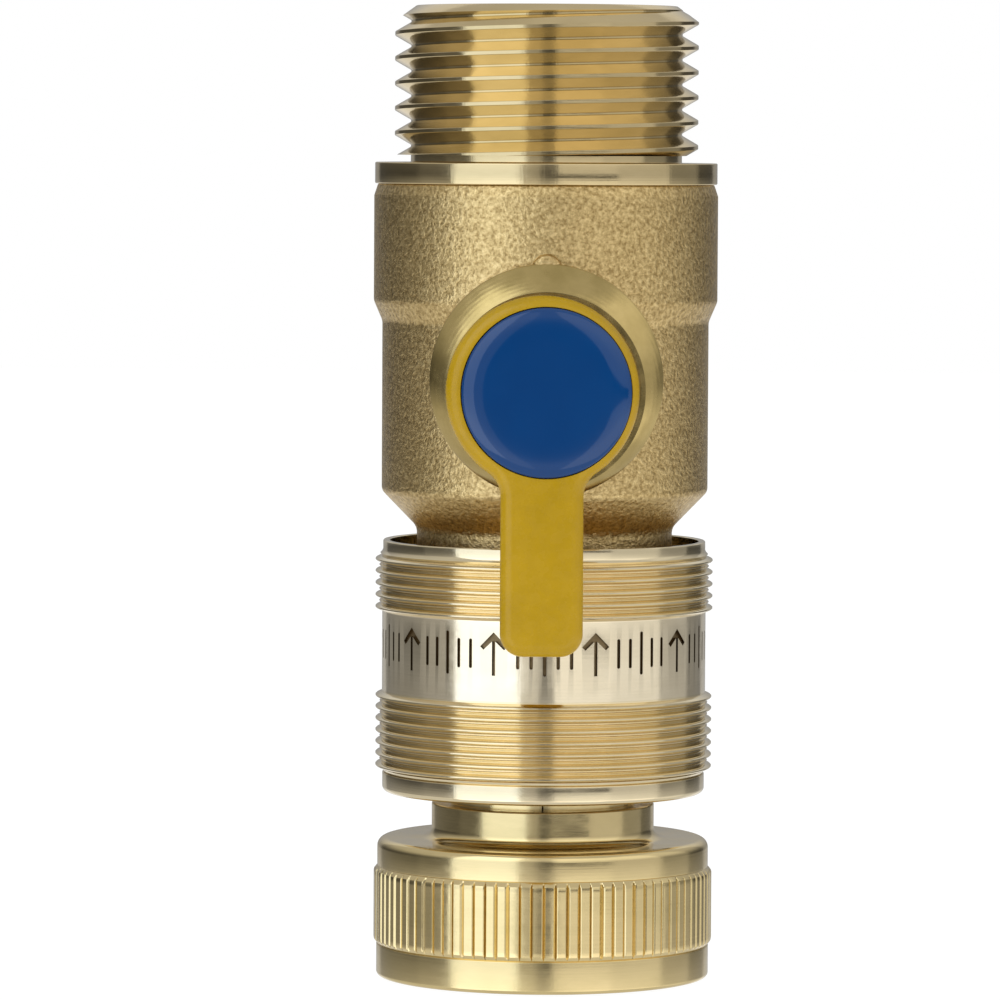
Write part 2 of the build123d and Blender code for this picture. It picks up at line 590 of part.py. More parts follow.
def lever_cap():
    """Push-in cap with a slightly domed front and a hollow back that clears the screw."""
    edge_r = CAP_R - CAP_CHAMFER
    dome_drop = CAP_CROWN - CAP_EDGE
    dome_r = (edge_r ** 2 + dome_drop ** 2) / (2 * dome_drop)
    cup = turned([
        (CAP_HOLLOW_R, CAP_SKIRT_IN), (CAP_R, CAP_SKIRT_IN), (CAP_R, CAP_EDGE - CAP_CHAMFER),
        (edge_r, CAP_EDGE), (edge_r, CAP_CROWN + PAST), (0, CAP_CROWN + PAST), (0, CAP_HOLLOW_ROOF),
        (CAP_HOLLOW_R, CAP_HOLLOW_ROOF)])
    dome = Pos(0, 0, CAP_CROWN - dome_r) * Sphere(dome_r)
    return STEM_FRAME * (cup & dome)


# ---- Write one file per sub-part -----------------------------------------------------------

parts = {
    "valve_body": valve_body(),
    "hose_tailpiece": hose_tailpiece(),
    "tailpiece_o_ring": tailpiece_o_ring(),
    "ball_seat_upper": ball_seat(1),
    "ball_seat_lower": ball_seat(-1),
    "valve_ball": valve_ball(),
    "valve_stem": valve_stem(),
    "stem_thrust_washer": stem_thrust_washer(),
    "lever": lever(),
    "lever_spring_washer": lever_spring_washer(),
    "lever_screw": lever_screw(),
    "lever_cap": lever_cap(),
    "socket_core": socket_core(),
    "socket_seal": socket_seal(),
    "release_sleeve": release_sleeve(),
    "sleeve_spring": sleeve_spring(),
    "sleeve_retaining_ring": sleeve_retaining_ring(),
    "plug_adapter": plug_adapter(),
    "hose_washer": hose_washer(),
}
for number, reach in enumerate(STEM_RING_REACHES, start=1):
    parts[f"stem_o_ring_{number}"] = stem_o_ring(reach)
for index in range(LOCK_BALL_COUNT):
    parts[f"locking_ball_{index + 1}"] = locking_ball(index)

for name, solid in parts.items():
    export_step(solid, f"parts/{name}.step")
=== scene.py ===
import json
import math
import random

import bmesh
import bpy
from mathutils import Matrix, Vector


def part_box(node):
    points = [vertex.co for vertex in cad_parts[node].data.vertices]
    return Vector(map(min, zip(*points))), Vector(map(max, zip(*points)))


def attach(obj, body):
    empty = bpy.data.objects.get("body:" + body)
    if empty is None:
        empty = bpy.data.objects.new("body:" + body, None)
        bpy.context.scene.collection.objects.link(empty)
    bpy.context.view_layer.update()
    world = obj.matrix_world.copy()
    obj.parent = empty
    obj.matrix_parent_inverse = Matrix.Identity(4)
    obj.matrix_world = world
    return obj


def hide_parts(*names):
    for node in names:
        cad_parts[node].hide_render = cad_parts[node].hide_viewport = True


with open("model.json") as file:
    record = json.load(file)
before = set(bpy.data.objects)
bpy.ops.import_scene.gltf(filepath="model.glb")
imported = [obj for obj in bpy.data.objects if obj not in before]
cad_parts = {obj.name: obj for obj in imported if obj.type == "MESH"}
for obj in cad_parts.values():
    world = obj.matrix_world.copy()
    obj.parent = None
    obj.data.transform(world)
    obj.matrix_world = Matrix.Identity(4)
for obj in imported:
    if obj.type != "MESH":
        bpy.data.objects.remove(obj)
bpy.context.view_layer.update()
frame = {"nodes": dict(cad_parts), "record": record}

# A hose quick connector with a ball valve. The CAD frame holds every size; the detailed pieces
# below are turned, threaded, knurled and cut to it. Lengths are in metres, and profiles are
# written in millimetres and scaled by MM.

MM = 0.001
TAU = 2 * math.pi


# ---- Sizes read from the frame ------------------------------------------------------------

def span(node):
    """Lowest and highest corner of a CAD node, in millimetres."""
    low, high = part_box(node)
    return low / MM, high / MM


TAIL_LOW, TAIL_HIGH = span("hose_tailpiece")
BODY_LOW, BODY_HIGH = span("valve_body")
SLEEVE_LOW, SLEEVE_HIGH = span("release_sleeve")
PLUG_LOW, PLUG_HIGH = span("plug_adapter")
LEVER_LOW, LEVER_HIGH = span("lever")
CAP_LOW, CAP_HIGH = span("lever_cap")
STEM_Z = (CAP_LOW.z + CAP_HIGH.z) / 2
THREAD_PITCH = 25.4 / 11.5
FRONT_CREST_Z = 80.12           # a crest of the hose thread on the side towards the camera


# ---- Mesh building --------------------------------------------------------------------------

def rounded(points, steps=5):
    """A closed profile from (radius, height) or (radius, height, corner radius) points."""
    out = []
    count = len(points)
    for index, point in enumerate(points):
        here = Vector(point[:2])
        if len(point) == 2:
            out.append(tuple(here))
            continue
        before = Vector(points[index - 1][:2])
        after = Vector(points[(index + 1) % count][:2])
        to_before = (before - here).normalized()
        to_after = (after - here).normalized()
        half = to_before.angle(to_after) / 2
        reach = point[2] / math.tan(half)
        centre = here + (to_before + to_after).normalized() * (point[2] / math.sin(half))
        start = here + to_before * reach - centre
        end = here + to_after * reach - centre
        turn = start.angle_signed(end)
        for step in range(steps + 1):
            angle = -turn * step / steps
            x = start.x * math.cos(angle) - start.y * math.sin(angle)
            y = start.x * math.sin(angle) + start.y * math.cos(angle)
            out.append((centre.x + x, centre.y + y))
    return out


def new_object(name, verts, faces):
    """A mesh object from millimetre points."""
    mesh = bpy.data.meshes.new(name)
    mesh.from_pydata([Vector(v) * MM for v in verts], [], faces)
    mesh.validate()
    made = bpy.data.objects.new(name, mesh)
    bpy.context.scene.collection.objects.link(made)
    return made


def lathe(name, profile, segments=256):
    """Turn a closed profile of (radius, height) points about Z."""
    verts = []
    faces = []
    count = len(profile)
    for i in range(segments):
        angle = TAU * i / segments
        for radius, z in profile:
            verts.append((radius * math.cos(angle), radius * math.sin(angle), z))
    for i in range(segments):
        a = i * count
        b = ((i + 1) % segments) * count
        for j in range(count):
            k = (j + 1) % count
            faces.append((a + j, b + j, b + k, a + k))
    return tidy(new_object(name, verts, faces))


def tidy(piece, angle=30):
    """Merge doubled points, face every face outward, and shade smooth between sharp edges."""
    bm = bmesh.new()
    bm.from_mesh(piece.data)
    bmesh.ops.remove_doubles(bm, verts=bm.verts, dist=1e-7)
    bmesh.ops.dissolve_degenerate(bm, edges=bm.edges, dist=1e-8)
    bmesh.ops.recalc_face_normals(bm, faces=bm.faces)
    bm.to_mesh(piece.data)
    bm.free()
    for polygon in piece.data.polygons:
        polygon.use_smooth = True
    piece.data.set_sharp_from_angle(angle=math.radians(angle))
    return piece


def cut(piece, tool, operation="DIFFERENCE"):
    """Apply a boolean to the piece and throw the tool away."""
    modifier = piece.modifiers.new("cut", "BOOLEAN")
    modifier.operation = operation
    modifier.solver = "EXACT"
    modifier.object = tool
    modifier.use_self = operation == "UNION"
    apply_modifiers(piece)
    bpy.data.objects.remove(tool)


def apply_modifiers(piece):
    """Replace the piece's mesh with what its modifiers make of it."""
    graph = bpy.context.evaluated_depsgraph_get()
    mesh = bpy.data.meshes.new_from_object(piece.evaluated_get(graph), depsgraph=graph)
    piece.modifiers.clear()
    piece.data = mesh


def to_stem(piece):
    """Turn a piece made about Z, height outward from the flow axis, onto the stem's axis."""
    piece.data.transform(Matrix.Translation((0, 0, STEM_Z * MM)) @ Matrix.Rotation(math.pi / 2, 4, "X"))
    return piece


# ---- Male hose thread and flange ------------------------------------------------------------

HOSE_CREST_R = 13.495
HOSE_ROOT_R = 12.06
INLET_R = 8.5


def screw_surface(name, section, bottom, top, front_crest_z, segments=240):
    """A solid rod with a right-handed helical surface; section is (height offset, radius) over one pitch."""
    first_turn = math.floor((bottom - front_crest_z) / THREAD_PITCH) - 1
    last_turn = math.ceil((top - front_crest_z) / THREAD_PITCH) + 1
    start = front_crest_z + THREAD_PITCH * (first_turn - 0.5)
    steps = segments * (last_turn - first_turn)
    verts = []
    faces = []
    count = len(section)
    for i in range(steps + 1):
        angle = TAU * (i / segments - 0.25)
        base = start + THREAD_PITCH * i / segments
        for offset, radius in section:
            verts.append((radius * math.cos(angle), radius * math.sin(angle), base + offset))
    for i in range(steps):
        for j in range(count - 1):
            a = i * count + j
            faces.append((a, a + count, a + count + 1, a + 1))
    rod = new_object(name, verts, faces)
    bm = bmesh.new()
    bm.from_mesh(rod.data)
    bmesh.ops.remove_doubles(bm, verts=bm.verts, dist=1e-7)
    for height, outward in ((bottom, -1), (top, 1)):
        everything = bm.verts[:] + bm.edges[:] + bm.faces[:]
        bmesh.ops.bisect_plane(
            bm, geom=everything, plane_co=(0, 0, height * MM), plane_no=(0, 0, outward), clear_outer=True)
        rim = [edge for edge in bm.edges if edge.is_boundary and abs(edge.verts[0].co.z - height * MM) < 1e-7
               and abs(edge.verts[1].co.z - height * MM) < 1e-7]
        bmesh.ops.contextual_create(bm, geom=rim)
    bmesh.ops.recalc_face_normals(bm, faces=bm.faces)
    bm.to_mesh(rod.data)
    bm.free()
    return rod


def thread_section(root_r, crest_r, crest_flat=0.36, easing=0.035):
    """One pitch of a 60-degree thread from root to root, its corners eased."""
    middle = THREAD_PITCH / 2
    half_crest = crest_flat / 2
    half_root = half_crest + (crest_r - root_r) * math.tan(math.radians(30))
    rise = easing / math.tan(math.radians(30))
    left = [
        (0, root_r), (middle - half_root - easing, root_r), (middle - half_root + easing, root_r + rise),
        (middle - half_crest - easing, crest_r - rise), (middle - half_crest + easing, crest_r)]
    return left + [(THREAD_PITCH - offset, radius) for offset, radius in reversed(left)]


def make_tailpiece():
    """Flange and helical hose thread; the envelope rounds off the thread's start."""
    top = TAIL_HIGH.z
    flange_r = TAIL_HIGH.x
    bottom = TAIL_LOW.z
    seat = BODY_HIGH.z
    flange_top = seat + 1.9
    relief_top = flange_top + 0.65
    blank = lathe("tailpiece_blank", rounded([
        (9.55, bottom), (11.6, bottom, 0.2), (11.6, seat), (flange_r, seat, 0.12), (flange_r, flange_top, 0.12),
        (HOSE_ROOT_R, flange_top, 0.1), (HOSE_ROOT_R, relief_top + 0.3), (INLET_R, relief_top + 0.3),
        (INLET_R, 64), (7.0, 64), (7.0, 62.5), (9.55, 62.5)], 4))
    section = thread_section(HOSE_ROOT_R, HOSE_CREST_R)
    rod = screw_surface("hose_thread", section, relief_top, top, FRONT_CREST_Z)
    envelope = lathe("thread_envelope", [
        (INLET_R, relief_top - 1), (14.5, relief_top - 1), (14.5, top - 2.1), (11.62, top - 0.02), (11.55, top),
        (9.0, top), (INLET_R, top - 0.5)])
    cut(rod, envelope, "INTERSECT")
    cut(rod, blank, "UNION")
    rod.name = "hose_tailpiece_turned"
    return tidy(rod, 25)


# ---- Cast valve body --------------------------------------------------------------------------

def make_body():
    """The casting: barrel with its step and cone, machined boss, stop lug, and the bores inside."""
    low = BODY_LOW.z
    top = BODY_HIGH.z
    neck_r = 11.38
    barrel_r = 14.53
    upper_r = BODY_HIGH.x
    casting = lathe("valve_body_cast", rounded([
        (9.52, low), (neck_r, low, 0.15), (neck_r, 40.15, 1.3), (barrel_r, 43.4, 0.9), (barrel_r, 58.5, 1.2),
        (upper_r, 60.3, 1.1), (upper_r, 69.65, 0.5), (14.95, top, 0.2), (13.25, top), (13.25, 69.05),
        (11.62, 69.05), (11.62, 58.5), (10.4, 58.5), (10.4, 47.15), (9.55, 47.15), (9.55, 43.3), (6.4, 43.3),
        (6.4, 41.5), (9.52, 41.5)], 8), 320)
    cut(casting, boss_solid(), "UNION")
    lug = to_stem(lathe("stop_lug", rounded([(0, 11), (1.34, 11), (1.34, 15.9, 0.5), (0, 15.9)], 4), 48))
    lug.data.transform(Matrix.Translation((0, 0, 10.5 * MM)))
    cut(casting, lug, "UNION")
    bore_profile = [(0, 9.0), (4.0, 9.0), (4.0, 12.2), (3.05, 12.2), (3.05, 18.5), (0, 18.5)]
    cut(casting, to_stem(lathe("stem_bore", bore_profile, 64)))
    return tidy(casting, 32)


def boss_solid(segments=160):
    """Oblique cone: its base circle is set a little above the stem, its face circle is on it."""
    rings = [
        (9.8, 10.15, 0.85), (15.85, 10.15, 0.85), (16.0, 10.05, 0.84), (17.15, 8.82, 0.02), (17.3, 8.6, 0.0)]
    verts = []
    for reach, radius, rise in rings:
        for i in range(segments):
            angle = TAU * i / segments
            verts.append((radius * math.cos(angle), -reach, STEM_Z + rise + radius * math.sin(angle)))
    faces = [tuple(reversed(range(segments)))]
    for ring in range(len(rings) - 1):
        for i in range(segments):
            k = (i + 1) % segments
            a = ring * segments
            faces.append((a + i, a + k, a + segments + k, a + segments + i))
    faces.append(tuple(range((len(rings) - 1) * segments, len(rings) * segments)))
    return tidy(new_object("stem_boss", verts, faces))


# ---- Release sleeve ----------------------------------------------------------------------------

BAND_R = 14.44
BAND_MIDDLE = 29.8
MARK_DEPTH = 0.3
MARK_HALF_W = 0.15


def rib_row(first_z, pitch, count, crest_r, minor_r, valley_r):
    """Turned ribs with a lower rib between each pair, with their tips eased."""
    rib = [
        (-0.34, valley_r), (-0.22, crest_r - 0.3), (-0.13, crest_r - 0.09), (-0.05, crest_r), (0.05, crest_r),
        (0.13, crest_r - 0.09), (0.22, crest_r - 0.3), (0.34, valley_r)]
    low_rib = [
        (0.4, valley_r + 0.02), (0.46, minor_r - 0.03), (0.5, minor_r), (0.54, minor_r - 0.03),
        (0.6, valley_r + 0.02)]
    points = []
    for index in range(count):
        shape = rib + low_rib if index < count - 1 else rib
        points += [(radius, first_z + (index + offset) * pitch) for offset, radius in shape]
    return points


def make_sleeve():
    """Outside from the bottom up: plain foot, lower ribs, band, upper ribs, rim; then down the inside."""
    low = SLEEVE_LOW.z
    top = SLEEVE_HIGH.z
    plain_r = 14.38
    outline = rounded([(13.0, low), (plain_r, low, 0.5), (plain_r, low + 1.95, 0.1)], 8)
    outline += rib_row(18.90, 1.035, 7, 15.00, 14.64, 14.43)
    outline += [(BAND_R, 25.62), (BAND_R, 32.56)]
    outline += rib_row(33.03, 1.0625, 5, 15.04, 14.71, 14.45)
    outline += [(14.62, top - 1.16), (14.45, top - 0.98), (14.37, top - 0.8), (14.37, top - 0.08), (14.3, top)]
    outline += [(13.83, top), (13.77, top - 0.06), (13.77, top - 2.6), (13.1, top - 2.6), (13.1, 26.6)]
    outline += [(11.05, 26.6), (11.05, 22.77), (12.28, 18.45), (13.0, 18.45)]
    sleeve = lathe("release_sleeve_turned", outline, 320)
    cut(sleeve, sleeve_marks())
    return tidy(sleeve, 28)


def engrave(bm, outline, turn):
    """One engraved mark: an outline of (across, height) points sunk into the band, turned round Z."""
    inner = -(BAND_R - MARK_DEPTH)
    outer = -(BAND_R + 0.6)
    spin = Matrix.Rotation(turn, 4, "Z")
    low = [bm.verts.new(spin @ (Vector((x, inner, BAND_MIDDLE + z)) * MM)) for x, z in outline]
    high = [bm.verts.new(spin @ (Vector((x, outer, BAND_MIDDLE + z)) * MM)) for x, z in outline]
    bm.faces.new(low)
    bm.faces.new(high[::-1])
    for i in range(len(outline)):
        k = (i + 1) % len(outline)
        bm.faces.new((low[i], high[i], high[k], low[k]))


def tick(height):
    """An upright stroke with round ends."""
    reach = height / 2 - MARK_HALF_W
    ends = []
    for side, start in ((1, 0), (-1, 180)):
        for step in range(7):
            angle = math.radians(start + 30 * step)
            ends.append((MARK_HALF_W * math.cos(angle), side * reach + MARK_HALF_W * math.sin(angle)))
    return ends


def sleeve_marks(repeats=10):
    """Generic engraved marks round the band: pull-up arrows between rows of grip ticks."""
    bm = bmesh.new()
    arrow = [
        (0, 1.9), (-1.25, 0.65), (-0.95, 0.35), (-MARK_HALF_W, 1.09), (-MARK_HALF_W, -1.9), (MARK_HALF_W, -1.9),
        (MARK_HALF_W, 1.09), (0.95, 0.35), (1.25, 0.65)]
    for index in range(repeats):
        turn = TAU * (index + 0.5) / repeats
        engrave(bm, arrow, turn)
        for share, height in ((0.24, 2.6), (0.37, 2.6), (0.5, 3.8), (0.63, 2.6), (0.76, 2.6)):
            engrave(bm, tick(height), turn + share * TAU / repeats)
    bmesh.ops.recalc_face_normals(bm, faces=bm.faces)
    mesh = bpy.data.meshes.new("sleeve_marks")
    bm.to_mesh(mesh)
    bm.free()
    tool = bpy.data.objects.new("sleeve_marks", mesh)
    bpy.context.scene.collection.objects.link(tool)
    return tool


# ---- Plug with the knurled hose nut --------------------------------------------------------------

KNURL_TEETH = 90
KNURL_DEPTH = 0.3
KNURL_LOW = 2.87
KNURL_HIGH = 9.9
NUT_R = 14.79
NUT_TOP = 12.37
NUT_MOUTH = 1.3
NUT_THREAD_TOP = 8.1
NUT_FLOOR = 10.6
COLLAR_R = 9.93
COLLAR_TOP = 15.5
SHANK_R = 8.2
LOCK_GROOVE_Z = 21.35
WATER_WAY_R = 5.5


def knurl_teeth(seed=7):
    """Angle, half width and height of every tooth: rolled teeth are never quite alike."""
    rng = random.Random(seed)
    pitch = TAU / KNURL_TEETH
    return [(pitch * (i + rng.uniform(-0.05, 0.05)), pitch * rng.uniform(0.33, 0.41), rng.uniform(-0.04, 0.0))
            for i in range(KNURL_TEETH)]


def knurl_ring(outer_r, low, high, core_r):
    """Flat-topped straight teeth whose ends run out on a bevel."""
    around = []
    for angle, half, drop in knurl_teeth():
        slope = 0.5 * TAU / KNURL_TEETH - half
        around += [
            (angle - half - slope * 0.9, KNURL_DEPTH), (angle - half - slope * 0.5, KNURL_DEPTH * 0.55),
            (angle - half - slope * 0.12, 0.06 - drop), (angle - half + 0.004, -drop),
            (angle, -drop - 0.01), (angle + half - 0.004, -drop),
            (angle + half + slope * 0.12, 0.06 - drop), (angle + half + slope * 0.5, KNURL_DEPTH * 0.55)]
    levels = [(low, 0.40), (low + 0.1, 0.31), (low + 0.24, 0.19), (low + 0.42, 0.05), (low + 0.6, 0)]
    levels += [(low + (high - low) * step / 8, 0) for step in range(1, 8)]
    levels += [(high - 0.6, 0), (high - 0.42, 0.05), (high - 0.24, 0.19), (high - 0.1, 0.31), (high, 0.40)]
    verts = []
    faces = []
    count = len(around)
    for z, bevel in levels:
        for angle, depth in around:
            radius = outer_r - max(depth, bevel)
            verts.append((radius * math.cos(angle), radius * math.sin(angle), z))
    for z in (high, low):
        verts += [(core_r * math.cos(angle), core_r * math.sin(angle), z) for angle, depth in around]
    rows = len(levels) + 2
    for row in range(rows):
        here = row * count
        above = ((row + 1) % rows) * count
        for i in range(count):
            k = (i + 1) % count
            faces.append((here + i, here + k, above + k, above + i))
    return new_object("knurl", verts, faces)


def arc(centre_r, centre_z, radius, start, end, steps=10):
    """Points on an arc of a profile, angles in degrees from the outward direction."""
    angles = [math.radians(start + (end - start) * step / steps) for step in range(steps + 1)]
    return [(centre_r + radius * math.cos(a), centre_z + radius * math.sin(a)) for a in angles]


def make_plug():
    """The shank, collar and nut as one turned piece, with its knurl, and the nut's thread as a lining."""
    top = PLUG_HIGH.z
    outline = rounded([
        (13.7, 0, 0.1), (14.85, 0, 0.4), (14.85, KNURL_LOW - 0.02, 0.1), (14.62, KNURL_LOW + 0.1),
        (14.62, KNURL_HIGH - 0.1), (NUT_R, KNURL_HIGH + 0.02, 0.08), (NUT_R, NUT_TOP, 0.8),
        (COLLAR_R, NUT_TOP, 1.0), (COLLAR_R, COLLAR_TOP, 0.15), (SHANK_R, COLLAR_TOP, 0.1)], 8)
    outline += arc(9.35, LOCK_GROOVE_Z, 2.06, 236, 124)
    outline += [(SHANK_R, top - 0.9), (7.3, top), (WATER_WAY_R, top), (WATER_WAY_R, NUT_FLOOR)]
    outline += [(13.8, NUT_FLOOR), (13.8, NUT_THREAD_TOP)]
    outline += [(13.66, NUT_THREAD_TOP), (13.66, NUT_MOUTH), (13.7, NUT_MOUTH)]
    blank = lathe("plug_adapter_turned", outline, 360)
    cut(blank, knurl_ring(PLUG_HIGH.x, KNURL_LOW, KNURL_HIGH, 14.5), "UNION")
    thread = screw_surface("inner_thread", thread_section(12.35, 13.6), -0.5, 8.2, 0.9, 160)
    lining_top = NUT_THREAD_TOP + 0.05
    lining_profile = [(11.0, NUT_MOUTH), (13.68, NUT_MOUTH), (13.68, lining_top), (11.0, lining_top)]
    lining = lathe("hose_nut_thread", lining_profile, 160)
    cut(lining, thread)
    return tidy(blank, 22), tidy(lining, 25)


# ---- Lever and its cap ------------------------------------------------------------------------------

HUB_R = 8.36
ARM_HALF_W = 3.59
ARM_REACH = 22.85
NECK_R = 2.5
ARM_END_R = 2.0


def swing(centre, radius, start, end, steps):
    """Points on an arc in the lever's own plane, angles in degrees."""
    angles = [math.radians(start + (end - start) * step / steps) for step in range(steps + 1)]
    return [(centre[0] + radius * math.cos(a), centre[1] + radius * math.sin(a)) for a in angles]


def lever_outline(inset):
    """The lever's outline moved inward by an inset: hub, two necks, and the arm with its round corners."""
    neck_x = ARM_HALF_W + NECK_R
    neck_y = -math.sqrt((HUB_R + NECK_R) ** 2 - neck_x ** 2)
    neck_angle = math.degrees(math.atan2(neck_y, neck_x))
    end_x = ARM_HALF_W - ARM_END_R
    end_y = -ARM_REACH + ARM_END_R
    corner_r = max(ARM_END_R - inset, 0.05)
    points = swing((0, 0), HUB_R - inset, neck_angle, 180 - neck_angle, 120)
    points += swing((-neck_x, neck_y), NECK_R + inset, -neck_angle, 0, 12)
    arm_top = points[-1]
    points += [(arm_top[0], arm_top[1] + (end_y - arm_top[1]) * step / 8) for step in range(1, 8)]
    points += swing((-end_x, end_y), corner_r, 180, 270, 12)
    points += swing((end_x, end_y), corner_r, 270, 360, 12)
    points += [(-arm_top[0], end_y + (arm_top[1] - end_y) * step / 8) for step in range(1, 8)]
    points += swing((neck_x, neck_y), NECK_R + inset, 180, 180 + neck_angle, 12)
    return points


def make_lever():
    """The flat lever, its edges fully rounded, with a recess for the cap and a flatted stem hole."""
    back = -LEVER_HIGH.y
    front = -LEVER_LOW.y
    edge_r = 1.1
    levels = []
    for step in range(9):
        angle = math.radians(90 * step / 8)
        levels.append((edge_r * (1 - math.sin(angle)), back + edge_r * (1 - math.cos(angle))))
    for step in range(9):
        angle = math.radians(90 * step / 8)
        levels.append((edge_r * (1 - math.cos(angle)), front - edge_r * (1 - math.sin(angle))))
    verts = []
    faces = []
    offset = (LEVER_LOW.x + LEVER_HIGH.x) / 2
    for inset, reach in levels:
        verts += [(x + offset, y, reach) for x, y in lever_outline(inset)]
    count = len(verts) // len(levels)
    faces.append(tuple(reversed(range(count))))
    for row in range(len(levels) - 1):
        for i in range(count):
            k = (i + 1) % count
            faces.append((row * count + i, row * count + k, (row + 1) * count + k, (row + 1) * count + i))
    faces.append(tuple(range((len(levels) - 1) * count, len(levels) * count)))
    plate = tidy(new_object("lever_coated", verts, faces))
    recess = [(0, 19.0), (7.38, 19.0), (7.38, 20.8), (7.46, 21.1), (7.46, 22), (0, 22)]
    cut(plate, lathe("cap_recess", recess, 160))
    hole = lathe("stem_hole", [(0, 17), (3.02, 17), (3.02, 20), (0, 20)], 64)
    for vertex in hole.data.vertices:
        vertex.co.y = max(-2.22 * MM, min(2.22 * MM, vertex.co.y))
    cut(plate, tidy(hole))
    return tidy(to_stem(plate), 35)


def make_cap():
    """Round cap: nearly flat in the middle, falling away close to its rim."""
    crown = -CAP_LOW.y
    outer_r = 7.34
    profile = [(0, crown)]
    for step in range(1, 25):
        radius = (outer_r - 0.34) * step / 24
        profile.append((radius, crown - 0.5 * (radius / outer_r) ** 13))
    rim = profile[-1][1]
    profile += [(outer_r - 0.2, rim - 0.06), (outer_r - 0.08, rim - 0.15), (outer_r, rim - 0.3)]
    profile += [(outer_r, 19.3), (6.3, 19.3), (6.3, 20.75), (0, 20.75)]
    return tidy(to_stem(lathe("lever_cap_moulded", profile, 200)), 50)


# ---- Materials ------------------------------------------------------------------------------------

class Surface:
    """One procedural material; coordinates are object space in metres."""

    def __init__(self, name, **values):
        self.material = bpy.data.materials.new(name)
        self.material.use_nodes = True
        self.tree = self.material.node_tree
        self.shader = self.tree.nodes["Principled BSDF"]
        self.coords = self.tree.nodes.new("ShaderNodeTexCoord").outputs["Object"]
        for key, value in values.items():
            self.shader.inputs[key.replace("_", " ")].default_value = value

    def texture(self, kind, scale, stretch=(1, 1, 1), shift=(0, 0, 0), **inputs):
        """A procedural texture's node; scale is in repeats per metre."""
        mapping = self.tree.nodes.new("ShaderNodeMapping")
        mapping.inputs["Scale"].default_value = stretch
        mapping.inputs["Location"].default_value = shift
        self.tree.links.new(self.coords, mapping.inputs["Vector"])
        made = self.tree.nodes.new(kind)
        made.inputs["Scale"].default_value = scale
        for key, value in inputs.items():
            made.inputs[key].default_value = value
        self.tree.links.new(mapping.outputs["Vector"], made.inputs["Vector"])
        return made

    def noise(self, scale, detail=2.0, rough=0.5, stretch=(1, 1, 1)):
        made = self.texture("ShaderNodeTexNoise", scale, stretch, Detail=detail, Roughness=rough)
        return made.outputs["Fac"]

    def ramp(self, source, stops):
        """Colours along a texture's value: (position, colour) pairs."""
        made = self.tree.nodes.new("ShaderNodeValToRGB")
        ramp = made.color_ramp
        while len(ramp.elements) < len(stops):
            ramp.elements.new(0.5)
        for element, (position, colour) in zip(ramp.elements, stops):
            element.position = position
            element.color = (*colour, 1)
        self.tree.links.new(source, made.inputs["Fac"])
        return made.outputs["Color"]

    def levels(self, source, low, high, start=0.0, end=1.0):
        """A texture's value from start to end, spread over low to high."""
        made = self.tree.nodes.new("ShaderNodeMapRange")
        made.inputs["From Min"].default_value = start
        made.inputs["From Max"].default_value = end
        made.inputs["To Min"].default_value = low
        made.inputs["To Max"].default_value = high
        self.tree.links.new(source, made.inputs["Value"])
        return made.outputs["Result"]

    def drive(self, socket, source):
        self.tree.links.new(source, self.shader.inputs[socket])

    def bump(self, source, depth):
        """Raise the surface by depth metres where the texture is high, on top of any earlier bump."""
        made = self.tree.nodes.new("ShaderNodeBump")
        made.inputs["Distance"].default_value = depth
        self.tree.links.new(source, made.inputs["Height"])
        normal = self.shader.inputs["Normal"]
        if normal.is_linked:
            self.tree.links.new(normal.links[0].from_socket, made.inputs["Normal"])
        self.tree.links.new(made.outputs["Normal"], normal)


def turned_metal(name, dark, light, roughness, marks, chatter=1.0):
    """Bright turned brass: rings of tool marks round Z, faint handling stains, uneven polish."""
    metal = Surface(name, Metallic=1.0, Anisotropic=0.3)
    tangent = metal.tree.nodes.new("ShaderNodeTangent")
    tangent.direction_type = "RADIAL"
    tangent.axis = "Z"
    metal.tree.links.new(tangent.outputs["Tangent"], metal.shader.inputs["Tangent"])
    stains = metal.noise(90, 5, 0.6, (1, 1, 2.2))
    metal.drive("Base Color", metal.ramp(stains, [(0.32, dark), (0.62, light)]))
    polish = metal.noise(260, 4, 0.7, (1, 1, 3))
    metal.drive("Roughness", metal.levels(polish, roughness - 0.04, roughness + 0.08, 0.3, 0.7))
    metal.bump(metal.noise(40, 4, 0.75, (0.6, 0.6, 170)), marks * 1.0e-6)
    metal.bump(metal.noise(4600, 2, 0.6, (1, 1, 0.05)), chatter * 1.6e-6)
    return metal.material


def faced_metal(name, dark, light):
    """The boss: machined with a facing cutter, so its marks run round the stem."""
    metal = Surface(name, Metallic=1.0)
    metal.drive("Base Color", metal.ramp(metal.noise(400, 4, 0.6), [(0.3, dark), (0.7, light)]))
    rings = metal.texture("ShaderNodeTexWave", 900, (1, 1, 1), (0, 0, -STEM_Z * MM), Distortion=1.5, Detail=3.0)
    rings.wave_type = "RINGS"
    rings.rings_direction = "Y"
    metal.drive("Roughness", metal.levels(metal.noise(700, 3, 0.6), 0.16, 0.28, 0.3, 0.7))
    metal.bump(rings.outputs["Fac"], 2.5e-6)
    metal.bump(metal.noise(1500, 3, 0.7), 2e-6)
    return metal.material


def cast_metal(name):
    """Shot-blasted cast brass: close grain of small bright facets over slow waviness."""
    metal = Surface(name, Metallic=1.0)
    grain = metal.noise(2900, 3, 0.62)
    tones = [(0.34, (0.36, 0.245, 0.095)), (0.48, (0.55, 0.395, 0.17)), (0.66, (0.78, 0.59, 0.28))]
    metal.drive("Base Color", metal.ramp(grain, tones))
    metal.drive("Roughness", metal.levels(metal.noise(1500, 3, 0.6), 0.27, 0.40, 0.3, 0.7))
    metal.bump(metal.noise(420, 2, 0.5), 1.6e-5)
    metal.bump(grain, 9.5e-5)
    return metal.material


